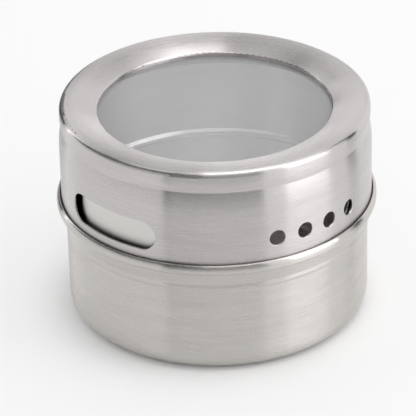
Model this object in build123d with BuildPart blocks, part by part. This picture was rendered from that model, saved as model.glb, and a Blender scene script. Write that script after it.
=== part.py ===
"""Sift-and-pour spice tin.

A drawn steel cup holds a neck ring with one pour opening. A steel lid with a clear window
turns on the neck, on a plastic seal ring, to bring its sift holes or its pour slot over that
opening. The tin stands on z = 0 with its axis on Z. The neck's opening faces -Y, and so do
the sift holes at rest.
"""
import os
from math import cos, radians, sin

from build123d import *

# Driving dimensions, in millimetres and degrees.
SHEET = 0.4                 # thickness of all the steel sheet
CUP_RADIUS = 30.2           # outside of the cup's wall
COLLAR_TOP = 24.95          # height of the collar's lip
LID_RADIUS = 31.0           # outside of the lid's skirt
LID_TOP = 44.5              # crest of the lid, and the height of the tin
WINDOW_RADIUS = 23.13       # inside of the lid's turned-down lip
OPENING_WIDTH = 21.6        # pour openings of the neck and the lid, across their round ends
OPENING_HEIGHT = 6.2
SIFT_HOLE_RADIUS = 1.6
SIFT_HOLES = 4
SIFT_PITCH = 11.28          # angle from one sift hole to the next
MAGNET_RADIUS = 13.0
MAGNET_THICKNESS = 2.0
RUNNING_FIT = 0.05          # radial clearance of the seal ring's plug in the neck

# Cup: foot, wall and flared collar.
FOOT_FILLET = 3.4
RECESS_RADIUS = MAGNET_RADIUS + 1.4
RECESS_DEPTH = 2.6
RECESS_SIDE = 0.7           # how far the recess widens towards the foot
RECESS_FILLETS = (0.8, 0.9)
STEP_BOTTOM = 18.5          # the wall steps out a little below the flare
STEP_TOP = 19.1
STEP_WIDTH = 0.3
CREASE_HEIGHT = 19.95       # a fine crease runs round where the flare starts
CREASE_DEPTH = 0.08
FLARE_RADIUS = 31.65        # top of the flare, under the hem
FLARE_TOP = 22.85
HEM_RADIUS = 31.97          # outside of the collar's hem, the widest place on the tin
HEM_BOTTOM = 23.15
HEM_MIDDLE = 24.45          # above this height the hem rolls in to the lid
LIP_RADIUS = 31.42
COLLAR_FILLETS = (0.5, 0.5, 0.3, 0.35, 0.5, 1.2)    # from the step up to the hem
LIP_ROUND = 0.17
EDGE_ROUND = 0.12           # rounding of the sheet's raw edges

# Neck ring, pressed into the cup.
NECK_RADIUS = CUP_RADIUS - SHEET
NECK_BOTTOM = 13.5
NECK_TOP = 40.85
BEAD_HEIGHT = 21.45         # stiffening bead, rolled inwards
BEAD_DEPTH = 0.85
BEAD_HALF_WIDTH = 0.8
BEAD_FILLETS = (0.45, 0.4, 0.45)
NECK_OPENING_HEIGHT = 29.5  # centre of the neck's opening

# Lid: skirt, groove and crowned top.
SKIRT_BOTTOM = 23.9
SKIRT_TOP = 37.6            # the skirt tapers in above this height
GROOVE_HEIGHT = 40.2
GROOVE_RADIUS = 30.45
BAND_HEIGHT = 41.8          # the band over the groove is widest here
BAND_RADIUS = 30.72
BAND_LEAN = 0.05            # the band leans in above its widest place
SKIRT_FILLETS = (20.0, 0.3, 8.0)    # under the taper, in the groove and round the band
CORNER_FILLET = 1.1
CROWN_RADIUS = 28.6         # from here the top falls to the window
CROWN_MIDDLE = (26.0, 44.13)
CROWN_END = (WINDOW_RADIUS + 0.6, 43.3)
WINDOW_EDGE_HEIGHT = 43.0
WINDOW_EDGE_FILLET = 0.45
WINDOW_LIP_BOTTOM = 42.2
SLOT_AZIMUTH = -81.7        # centre of the lid's pour slot, from -Y
SLOT_HEIGHT = 29.7
SIFT_HEIGHT = 29.25

# Seal ring and window pane, under the lid's top.
SEAL_PLUG_RADIUS = NECK_RADIUS - SHEET - RUNNING_FIT
SEAL_INNER_RADIUS = 28.6
SEAL_PLUG_BOTTOM = 37.9
SEAL_FLANGE_BOTTOM = 40.95
SEAL_FLANGE_RADIUS = 30.14
SEAL_FLANGE_TAPER = 0.1     # the flange narrows downwards, as the groove's upper side does
SEAL_TOP = 41.33
PANE_BOTTOM = 41.4
PANE_RADIUS = 30.15
PANE_FILLET = 0.2
SEAL_FILLET = 0.2

# Magnet and its glue pad.
GLUE_THICKNESS = 0.3
GLUE_INSET = 0.5            # the pad stops this far inside the magnet's rim
MAGNET_CHAMFER = 0.25


def outward_plane(azimuth, height):
    """Plane through the axis at this height, facing out at an angle counted from -Y."""
    angle = radians(azimuth)
    return Plane(
        origin=(0, 0, height),
        x_dir=(cos(angle), sin(angle), 0),
        z_dir=(sin(angle), -cos(angle), 0),
    )


def round_punched_edges(piece):
    """Round the edges of the openings that the last cut made through a sheet."""
    outlines = piece.edges(Select.LAST).filter_by(GeomType.LINE, reverse=True)
    fillet(outlines, radius=EDGE_ROUND)


# The cup, drawn from one sheet: magnet recess, foot, wall, step and collar.
with BuildPart() as cup_body:
    with BuildSketch(Plane.XZ):
        with BuildLine():
            FilletPolyline(
                (0, RECESS_DEPTH),
                (RECESS_RADIUS, RECESS_DEPTH),
                (RECESS_RADIUS + RECESS_SIDE, 0),
                (CUP_RADIUS, 0),
                (CUP_RADIUS, STEP_BOTTOM),
                (CUP_RADIUS + STEP_WIDTH, STEP_TOP),
                (CUP_RADIUS + STEP_WIDTH - CREASE_DEPTH, CREASE_HEIGHT),
                (FLARE_RADIUS, FLARE_TOP),
                (HEM_RADIUS, HEM_BOTTOM),
                (HEM_RADIUS, HEM_MIDDLE),
                (LIP_RADIUS, COLLAR_TOP),
                radius=[*RECESS_FILLETS, FOOT_FILLET, *COLLAR_FILLETS],
            )
            offset(amount=SHEET, side=Side.LEFT)
        make_face()
    revolve(axis=Axis.Z)
    # The sheet's raw edge is the larger of the two highest faces; the other is the hem's lean.
    raw_edge = cup_body.faces().sort_by(Axis.Z)[-2:].sort_by(SortBy.AREA)[-1]
    fillet(raw_edge.edges(), radius=LIP_ROUND)

# The neck ring, with its bead and its pour opening.
with BuildPart() as neck_ring:
    with BuildSketch(Plane.XZ):
        with BuildLine():
            FilletPolyline(
                (NECK_RADIUS, NECK_BOTTOM),
                (NECK_RADIUS, BEAD_HEIGHT - BEAD_HALF_WIDTH),
                (NECK_RADIUS - BEAD_DEPTH, BEAD_HEIGHT),
                (NECK_RADIUS, BEAD_HEIGHT + BEAD_HALF_WIDTH),
                (NECK_RADIUS, NECK_TOP),
                radius=BEAD_FILLETS,
            )
            offset(amount=SHEET, side=Side.LEFT)
        make_face()
    revolve(axis=Axis.Z)
    fillet(neck_ring.faces().sort_by(Axis.Z)[-1].edges(), radius=EDGE_ROUND)
    with BuildSketch(outward_plane(0, NECK_OPENING_HEIGHT)):
        SlotOverall(OPENING_WIDTH, OPENING_HEIGHT)
    extrude(amount=LID_RADIUS, mode=Mode.SUBTRACT)
    round_punched_edges(neck_ring)

# The magnet and the glue pad that holds it under the cup's floor.
with BuildPart() as magnet_adhesive:
    with BuildSketch(Plane.XY.offset(RECESS_DEPTH)):
        Circle(MAGNET_RADIUS - GLUE_INSET)
    extrude(amount=-GLUE_THICKNESS)

with BuildPart() as magnet:
    with BuildSketch(Plane.XY.offset(RECESS_DEPTH - GLUE_THICKNESS)):
        Circle(MAGNET_RADIUS)
    extrude(amount=-MAGNET_THICKNESS)
    chamfer(magnet.edges().filter_by(GeomType.CIRCLE), length=MAGNET_CHAMFER)

# The lid shell: skirt, groove, crowned top and turned-down window lip.
with BuildPart() as lid_shell:
    with BuildSketch(Plane.XZ):
        with BuildLine():
            skirt = FilletPolyline(
                (LID_RADIUS, SKIRT_BOTTOM),
                (LID_RADIUS, SKIRT_TOP),
                (GROOVE_RADIUS, GROOVE_HEIGHT),
                (BAND_RADIUS, BAND_HEIGHT),
                (BAND_RADIUS - BAND_LEAN, LID_TOP),
                (CROWN_RADIUS, LID_TOP),
                radius=[*SKIRT_FILLETS, CORNER_FILLET],
            )
            ThreePointArc(skirt @ 1, CROWN_MIDDLE, CROWN_END)
            FilletPolyline(
                CROWN_END,
                (WINDOW_RADIUS, WINDOW_EDGE_HEIGHT),
                (WINDOW_RADIUS, WINDOW_LIP_BOTTOM),
                radius=WINDOW_EDGE_FILLET,
            )
            offset(amount=SHEET, side=Side.LEFT)
        make_face()
    revolve(axis=Axis.Z)
    fillet(lid_shell.faces().sort_by(Axis.Z)[0].edges(), radius=EDGE_ROUND)
    with BuildSketch(outward_plane(SLOT_AZIMUTH, SLOT_HEIGHT)):
        SlotOverall(OPENING_WIDTH, OPENING_HEIGHT)
    extrude(amount=LID_RADIUS + 1, mode=Mode.SUBTRACT)
    round_punched_edges(lid_shell)
    sift_azimuths = [SIFT_PITCH * (i - (SIFT_HOLES - 1) / 2) for i in range(SIFT_HOLES)]
    with BuildSketch(*[outward_plane(azimuth, SIFT_HEIGHT) for azimuth in sift_azimuths]):
        Circle(SIFT_HOLE_RADIUS)
    extrude(amount=LID_RADIUS + 1, mode=Mode.SUBTRACT)
    round_punched_edges(lid_shell)

# The window pane, a clear disc seated above the groove and under the window lip.
with BuildPart() as window_pane:
    with BuildSketch(Plane.XY.offset(PANE_BOTTOM)):
        Circle(PANE_RADIUS)
    extrude(amount=WINDOW_LIP_BOTTOM - PANE_BOTTOM)
    fillet(window_pane.edges().filter_by(GeomType.CIRCLE), radius=PANE_FILLET)

# The seal ring: a plug in the neck's mouth, and a flange trapped between groove and pane.
with BuildPart() as seal_ring:
    with BuildSketch(Plane.XZ):
        with BuildLine():
            Polyline(
                (SEAL_INNER_RADIUS, SEAL_TOP),
                (SEAL_INNER_RADIUS, SEAL_PLUG_BOTTOM),
                (SEAL_PLUG_RADIUS, SEAL_PLUG_BOTTOM),
                (SEAL_PLUG_RADIUS, SEAL_FLANGE_BOTTOM),
                (SEAL_FLANGE_RADIUS - SEAL_FLANGE_TAPER, SEAL_FLANGE_BOTTOM),
                (SEAL_FLANGE_RADIUS, SEAL_TOP),
                close=True,
            )
        make_face()
    revolve(axis=Axis.Z)
    fillet(seal_ring.edges().group_by(Axis.Z)[0], radius=SEAL_FILLET)

pieces = {
    "cup_body": cup_body,
    "neck_ring": neck_ring,
    "magnet_adhesive": magnet_adhesive,
    "magnet": magnet,
    "lid_shell": lid_shell,
    "window_pane": window_pane,
    "seal_ring": seal_ring,
}
os.makedirs("parts", exist_ok=True)
for name, piece in pieces.items():
    piece.part.label = name
    export_step(piece.part, f"parts/{name}.step")
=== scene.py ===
"""Looks of the sift-and-pour spice tin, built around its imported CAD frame. Units are metres."""

from math import cos, pi, radians, sin

import bpy
from mathutils import Matrix, Vector

# Camera: angles in degrees, azimuth counted from -Y.
CAMERA_AZIMUTH = -38.6
CAMERA_ELEVATION = 29.34
CAMERA_DISTANCE = 0.6
CAMERA_AIM_HEIGHT = 0.022
CAMERA_PAN = -0.172
CAMERA_TILT = -0.178
CAMERA_ROLL = -1.346
CAMERA_LENS = 259.0         # millimetres, on the default 36 mm sensor

# Steel: linear colours, how far the brushing goes darker and lighter, and roughnesses.
LID_STEEL = (0.625, 0.596, 0.594)
CUP_STEEL = (0.63, 0.605, 0.58)
# The neck's steel is lighter than the lid's and cup's: partly its own finish, partly painted light that
# brightens the neck in the slot and the inside the window shows.
NECK_STEEL = (0.75, 0.73, 0.7)
SHEET_CONTRAST = 0.16
NECK_CONTRAST = 0.09
BRUSHED_ROUGHNESS = 0.292
RUBBED_ROUGHNESS = 0.2      # where the sheet is rolled over
LID_INSIDE_PAINTED_SHADE = 0.42     # painted shade: the lid's inside is darkened, standing in for the shade in the gap between lid and neck
INSIDE_PAINTED_LIGHT = 1.15     # painted light: the cup's and neck's insides that the window shows are made a little brighter
INSIDE_FACING = -0.027      # radius times outward slant, below which a surface counts as inside

# Brushing: noise cells round the axis, and cells per metre of the sheet's section.
FINE_SCRATCHES = (5.0, 3200.0)
BROAD_STREAKS = (2.0, 500.0)
SCRATCH_DEPTH = 0.00002

# How upright a normal is, from 0 to 1, where the sheet starts and stops being rolled over.
ROLL_STARTS = (0.42, 0.62)
ROLL_ENDS = (0.78, 0.9)

# Window pane: linear colours, and low and high values of what varies over it.
PANE_TINT = (0.9, 0.9, 0.925)
PANE_THROUGH = (0.96, 0.96, 0.975)
PANE_ROUGHNESS = (0.24, 0.3)
PANE_HAZE = (0.26, 0.29)
PANE_GLOSS_ROUGHNESS = 0.06
PANE_IOR = 1.5

# Floor: a painted glow that lifts the floor's shadows. None of it inside the first radius, which paints a
# shadow round the tin's foot, and all of it outside the second.
FLOOR_PAINTED_SHADOW_RADII = (0.029, 0.042)
TABLE_SHADE = 0.4           # share of the paper's own colour left where it glows
FLOOR_PAINTED_GLOW = 0.52
TABLE_HALF_SIZE = 3.0
TABLE_DROP = 0.00002        # below the foot, so that the two don't share a plane

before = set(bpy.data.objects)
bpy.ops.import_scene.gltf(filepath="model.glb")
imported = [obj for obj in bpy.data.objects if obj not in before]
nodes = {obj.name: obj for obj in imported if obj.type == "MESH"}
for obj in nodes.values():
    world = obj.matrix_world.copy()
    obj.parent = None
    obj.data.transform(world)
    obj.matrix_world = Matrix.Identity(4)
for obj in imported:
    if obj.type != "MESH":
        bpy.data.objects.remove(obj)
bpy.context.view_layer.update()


def outward(azimuth, elevation):
    """Unit vector at an azimuth from -Y and an elevation, both in degrees."""
    a, e = radians(azimuth), radians(elevation)
    return Vector((sin(a) * cos(e), -cos(a) * cos(e), sin(e)))


def add_camera():
    data = bpy.data.cameras.new("camera")
    data.lens = CAMERA_LENS
    data.clip_start = 0.01
    camera = bpy.data.objects.new("camera", data)
    bpy.context.scene.collection.objects.link(camera)
    back = outward(CAMERA_AZIMUTH, CAMERA_ELEVATION)
    right = Vector((0, 0, 1)).cross(back).normalized()
    up = back.cross(right)
    facing = Matrix((right, up, back)).transposed().to_4x4()
    turn = (
        Matrix.Rotation(radians(-CAMERA_PAN), 4, "Y")
        @ Matrix.Rotation(radians(CAMERA_TILT), 4, "X")
        @ Matrix.Rotation(radians(CAMERA_ROLL), 4, "Z")
    )
    aim = Vector((0, 0, CAMERA_AIM_HEIGHT))
    camera.matrix_world = Matrix.Translation(aim + back * CAMERA_DISTANCE) @ facing @ turn
    bpy.context.scene.camera = camera


class Material:
    """A node material with a Principled shader, and short ways to add nodes to it."""

    def __init__(self, name):
        self.material = bpy.data.materials.new(name)
        self.material.use_nodes = True
        self.nodes = self.material.node_tree.nodes
        self.links = self.material.node_tree.links
        self.shader = self.nodes["Principled BSDF"]

    def node(self, kind, **settings):
        node = self.nodes.new(kind)
        for setting, value in settings.items():
            setattr(node, setting, value)
        return node

    def feed(self, socket, value):
        """Put a number, a colour or another node's output into a socket."""
        if isinstance(value, bpy.types.NodeSocket):
            self.links.new(value, socket)
        else:
            socket.default_value = value

    def math(self, operation, first, second=0.0):
        node = self.node("ShaderNodeMath", operation=operation)
        self.feed(node.inputs[0], first)
        self.feed(node.inputs[1], second)
        return node.outputs[0]

    def vector_math(self, operation, first, second=(0.0, 0.0, 0.0)):
        """A vector calculation's outputs, of which the caller takes "Vector" or "Value"."""
        node = self.node("ShaderNodeVectorMath", operation=operation)
        self.feed(node.inputs[0], first)
        self.feed(node.inputs[1], second)
        return node.outputs

    def spread(self, value, start, end, low, high):
        """Take a value from start..end to low..high, with soft ends."""
        node = self.node("ShaderNodeMapRange", interpolation_type="SMOOTHSTEP")
        for socket, number in zip(node.inputs, (value, start, end, low, high)):
            self.feed(socket, number)
        return node.outputs[0]

    def noise(self, vector, scale=1.0, detail=3.0):
        node = self.node("ShaderNodeTexNoise")
        self.feed(node.inputs["Vector"], vector)
        self.feed(node.inputs["Scale"], scale)
        self.feed(node.inputs["Detail"], detail)
        return node.outputs["Fac"]

    def mix_colours(self, share, first, second, blend_type="MIX"):
        """Mix two colours, each given as three numbers or as another node's output."""
        node = self.node("ShaderNodeMix", data_type="RGBA", blend_type=blend_type)
        self.feed(node.inputs["Factor"], share)
        for name, colour in (("A", first), ("B", second)):
            made = isinstance(colour, bpy.types.NodeSocket)
            self.feed(node.inputs[name], colour if made else (*colour, 1))
        return node.outputs["Result"]

    def mix_shaders(self, share, first, second):
        node = self.node("ShaderNodeMixShader")
        for socket, value in zip(node.inputs, (share, first, second)):
            self.feed(socket, value)
        return node.outputs[0]

    def bump(self, height, strength, distance):
        node = self.node("ShaderNodeBump")
        self.feed(node.inputs["Height"], height)
        self.feed(node.inputs["Strength"], strength)
        self.feed(node.inputs["Distance"], distance)
        self.feed(self.shader.inputs["Normal"], node.outputs[0])

    def object_position(self):
        return self.node("ShaderNodeTexCoord").outputs["Object"]

    def object_normal(self):
        return self.node("ShaderNodeTexCoord").outputs["Normal"]

    def lathe_coordinates(self, radial_sign, along, across):
        """Texture coordinates of a turned part: slow round the axis, fast along its section.

        radial_sign is -1 where the section runs up and inwards, and 1 where it runs up and outwards.
        """
        split = self.node("ShaderNodeSeparateXYZ")
        self.feed(split.inputs[0], self.object_position())
        x, y, z = split.outputs
        square = self.math("ADD", self.math("POWER", x, 2.0), self.math("POWER", y, 2.0))
        radius = self.math("SQRT", square)
        section = self.math("ADD", z, self.math("MULTIPLY", radius, float(radial_sign)))
        join = self.node("ShaderNodeCombineXYZ")
        for socket, side in zip(join.inputs, (x, y)):
            self.feed(socket, self.math("MULTIPLY", self.math("DIVIDE", side, radius), along))
        self.feed(join.inputs[2], self.math("MULTIPLY", section, across))
        return join.outputs[0]

    def inside_mask(self):
        """1 where the surface is an inside wall that faces the tin's axis, else 0."""
        from_axis = self.vector_math("MULTIPLY", self.object_position(), (1.0, 1.0, 0.0))["Vector"]
        facing = self.vector_math("DOT_PRODUCT", from_axis, self.object_normal())["Value"]
        return self.math("LESS_THAN", facing, INSIDE_FACING)


def brushed_steel(name, radial_sign, colour, contrast, inside_painted_shading):
    """Sheet steel brushed round the tin's axis, and rubbed smoother where it is rolled over."""
    m = Material(name)
    m.feed(m.shader.inputs["Metallic"], 1.0)
    m.feed(m.shader.inputs["Anisotropic"], 1.0)
    m.feed(m.shader.inputs["Anisotropic Rotation"], 0.25)
    tangent = m.node("ShaderNodeTangent", direction_type="RADIAL", axis="Z")
    m.feed(m.shader.inputs["Tangent"], tangent.outputs[0])

    fine = m.noise(m.lathe_coordinates(radial_sign, *FINE_SCRATCHES))
    broad = m.noise(m.lathe_coordinates(radial_sign, *BROAD_STREAKS))
    fine_share = 0.45
    tone = m.math("ADD", m.math("MULTIPLY", fine, fine_share), m.math("MULTIPLY", broad, 1 - fine_share))
    dark, light = [c * (1 - contrast) for c in colour], [c * (1 + contrast) for c in colour]
    brushed = m.mix_colours(tone, dark, light)
    # Painted light and shade: the inside walls' colour is multiplied, darker on the lid as painted shade,
    # lighter on the cup and neck as painted light.
    painted_inside_tone = (inside_painted_shading, inside_painted_shading, inside_painted_shading)
    m.feed(m.shader.inputs["Base Color"], m.mix_colours(m.inside_mask(), brushed, painted_inside_tone, "MULTIPLY"))

    slant = m.node("ShaderNodeSeparateXYZ")
    m.feed(slant.inputs[0], m.object_normal())
    upright = m.math("ABSOLUTE", slant.outputs[2])
    started = m.spread(upright, *ROLL_STARTS, 0.0, 1.0)
    not_ended = m.spread(upright, *ROLL_ENDS, 1.0, 0.0)
    rolled = m.math("MULTIPLY", started, not_ended)
    base = m.spread(rolled, 0.0, 1.0, BRUSHED_ROUGHNESS, RUBBED_ROUGHNESS)
    swing = 0.15 * contrast
    m.feed(m.shader.inputs["Roughness"], m.math("ADD", base, m.spread(fine, 0.3, 0.7, -swing, swing)))
    m.bump(fine, 0.3 * contrast, SCRATCH_DEPTH)
    return m


def hazy_pane(name):
    """Clear plastic gone a little hazy. Only the face that the light meets first adds haze and gloss."""
    m = Material(name)
    clouds = m.noise(m.object_position(), 30.0, 0.0)
    m.feed(m.shader.inputs["Base Color"], (*PANE_TINT, 1))
    m.feed(m.shader.inputs["Roughness"], m.spread(clouds, 0.0, 1.0, *PANE_ROUGHNESS))
    through = m.node("ShaderNodeBsdfTransparent")
    m.feed(through.inputs["Color"], (*PANE_THROUGH, 1))
    gloss = m.node("ShaderNodeBsdfGlossy")
    m.feed(gloss.inputs["Roughness"], PANE_GLOSS_ROUGHNESS)
    fresnel = m.node("ShaderNodeFresnel")
    m.feed(fresnel.inputs["IOR"], PANE_IOR)

    outer = m.math("SUBTRACT", 1.0, m.node("ShaderNodeNewGeometry").outputs["Backfacing"])
    smudges = m.spread(m.noise(m.object_position(), 22.0, 0.0), 0.0, 1.0, *PANE_HAZE)
    hazed = m.mix_shaders(m.math("MULTIPLY", smudges, outer), through.outputs[0], m.shader.outputs[0])
    glossed = m.mix_shaders(m.math("MULTIPLY", fresnel.outputs[0], outer), hazed, gloss.outputs[0])
    m.feed(m.nodes["Material Output"].inputs["Surface"], glossed)
    return m


def grained(name, dark, light, roughness, scale, depth):
    """A matt or moulded material: grain and fainter clouds, in its colour, roughness and surface."""
    m = Material(name)
    clouds_size = 12            # times the grain's
    swing = 0.08                # of the roughness, up and down
    grain = m.noise(m.object_position(), scale, 5.0)
    clouds = m.noise(m.object_position(), scale / clouds_size, 2.0)
    tone = m.math("ADD", m.math("MULTIPLY", grain, 0.5), m.math("MULTIPLY", clouds, 0.5))
    colour = m.mix_colours(m.spread(tone, 0.35, 0.65, 0.0, 1.0), dark, light)
    m.feed(m.shader.inputs["Base Color"], colour)
    m.feed(m.shader.inputs["Roughness"], m.spread(grain, 0.3, 0.7, roughness - swing, roughness + swing))
    m.bump(grain, 0.3, depth)
    return m


def paper_with_painted_glow(name):
    """Pale paper with a painted glow that lifts its shadows, left out where the tin stands and just round
    it, which paints a shadow round the foot.
    """
    m = grained(name, (0.87, 0.87, 0.87), (0.89, 0.89, 0.89), 0.85, 400.0, 0.00003)
    radius = m.vector_math("LENGTH", m.object_position())["Value"]
    # Painted light: the floor glows, and the glow fades out towards the tin's foot as a painted shadow
    # round it.
    painted_glow_share = m.spread(radius, *FLOOR_PAINTED_SHADOW_RADII, 0.0, 1.0)
    base = m.shader.inputs["Base Color"]
    paper = base.links[0].from_socket
    m.feed(base, m.mix_colours(painted_glow_share, paper, (TABLE_SHADE, TABLE_SHADE, TABLE_SHADE), "MULTIPLY"))
    m.feed(m.shader.inputs["Emission Color"], (1, 1, 1, 1))
    m.feed(m.shader.inputs["Emission Strength"], m.math("MULTIPLY", painted_glow_share, FLOOR_PAINTED_GLOW))
    return m


def card_paint(name, grey, glow):
    m = Material(name)
    m.feed(m.shader.inputs["Base Color"], (grey, grey, grey, 1))
    m.feed(m.shader.inputs["Roughness"], 0.9)
    m.feed(m.shader.inputs["Emission Color"], (1, 1, 1, 1))
    m.feed(m.shader.inputs["Emission Strength"], glow)
    return m


def assign(node_name, look):
    node = nodes[node_name]
    node.data.materials.clear()
    node.data.materials.append(look.material)


def add_stage(name, corners, faces, look):
    """Add a piece of the studio, which isn't part of the tin."""
    mesh = bpy.data.meshes.new(name)
    mesh.from_pydata(corners, [], faces)
    mesh.materials.append(look.material)
    piece = bpy.data.objects.new(name, mesh)
    bpy.context.scene.collection.objects.link(piece)
    return piece


def softbox(name, azimuth, elevation, distance, width, height, radiance):
    """A soft light that faces the tin. Its azimuth is counted from the camera's."""
    data = bpy.data.lights.new(name, "AREA")
    data.shape = "RECTANGLE"
    data.size = width
    data.size_y = height
    data.energy = radiance * pi * width * height
    light = bpy.data.objects.new(name, data)
    direction = outward(CAMERA_AZIMUTH + azimuth, elevation)
    light.location = direction * distance + Vector((0, 0, CAMERA_AIM_HEIGHT))
    light.rotation_euler = direction.to_track_quat("Z", "Y").to_euler()
    light.visible_camera = False
    bpy.context.scene.collection.objects.link(light)


def card(name, azimuths, elevations, distance, grey=0.0, glow=0.0):
    """A dark or glowing card on an arc round the tin, from one azimuth and elevation to another.

    Its azimuths are counted from the camera's. It shows only in reflections, as a card just out of
    the picture does.
    """
    steps = 8
    rim = []
    for elevation in elevations:
        for i in range(steps + 1):
            azimuth = azimuths[0] + (azimuths[1] - azimuths[0]) * i / steps
            place = outward(CAMERA_AZIMUTH + azimuth, elevation) * distance
            rim.append(place + Vector((0, 0, CAMERA_AIM_HEIGHT)))
    faces = [(i, i + 1, i + steps + 2, i + steps + 1) for i in range(steps)]
    piece = add_stage(name, rim, faces, card_paint(name + "_paint", grey, glow))
    piece.visible_camera = False
    piece.visible_diffuse = False
    piece.visible_shadow = False


def add_floor():
    sides = ((-1, -1), (1, -1), (1, 1), (-1, 1))
    corners = [(x * TABLE_HALF_SIZE, y * TABLE_HALF_SIZE, -TABLE_DROP) for x, y in sides]
    add_stage("floor", corners, [(0, 1, 2, 3)], paper_with_painted_glow("floor_paper"))


def add_world(brightness):
    world = bpy.data.worlds.new("studio")
    world.use_nodes = True
    background = world.node_tree.nodes["Background"]
    background.inputs["Color"].default_value = (1, 1, 1, 1)
    background.inputs["Strength"].default_value = brightness
    bpy.context.scene.world = world


add_camera()
assign("cup_body", brushed_steel("cup_steel", 1, CUP_STEEL, SHEET_CONTRAST, INSIDE_PAINTED_LIGHT))
assign("neck_ring", brushed_steel("neck_steel", 1, NECK_STEEL, NECK_CONTRAST, INSIDE_PAINTED_LIGHT))
assign("lid_shell", brushed_steel("lid_steel", -1, LID_STEEL, SHEET_CONTRAST, LID_INSIDE_PAINTED_SHADE))
assign("window_pane", hazy_pane("clear_pane"))
# The seal's dark grey is partly its own colour and partly painted shade, standing in for the shadow under
# the window's lip.
seal = grained("seal_plastic", (0.1, 0.104, 0.112), (0.15, 0.155, 0.165), 0.42, 900.0, 0.00002)
seal.feed(seal.shader.inputs["Subsurface Weight"], 0.15)
assign("seal_ring", seal)
ferrite = grained("magnet_ferrite", (0.02, 0.02, 0.022), (0.055, 0.055, 0.06), 0.6, 1500.0, 0.00004)
assign("magnet", ferrite)
assign("magnet_adhesive", grained("glue_pad", (0.6, 0.6, 0.55), (0.76, 0.75, 0.7), 0.75, 1100.0, 0.00006))

# Studio: lights and cards, each with its azimuths and elevations in degrees and its distance.
add_floor()
add_world(0.98)
softbox("right_light", 72, 40, 0.9, 0.4, 0.8, 1.3)
softbox("top_light", 90, 82, 0.9, 0.5, 0.4, 2.2)
card("right_glow", (46, 80), (-10, 70), 0.25, glow=2.1)
card("left_glow", (-124, -121), (-10, 40), 0.4, glow=2.2)
card("front_card", (-30, 30), (-12, 40), 0.2, grey=0.14)
card("front_edge_card", (-34, -29), (-14, 60), 0.19, grey=0.0)
card("left_card", (-118, -14), (12, 54), 0.5, grey=0.1)
card("far_left_card", (-165, -126), (-8, 26), 0.2, grey=0.05)
card("right_card", (98, 109), (-8, 50), 0.2, grey=0.0)
card("back_card", (-196, -122), (50, 76), 0.5, grey=0.75)
card("wedge_card_right", (-172, -158), (36, 52), 0.45, grey=0.15)
card("back_glow", (166, 185), (-4, 14), 0.3, glow=1.9)
card("wedge_card_back", (173, 184), (38, 62), 0.45, grey=0.25)
card("wedge_card_left", (162, 173), (38, 56), 0.45, grey=0.35)

scene = bpy.context.scene
scene.view_settings.view_transform = "Standard"
scene.cycles.glossy_bounces = 8     # light goes to and fro between the steel walls
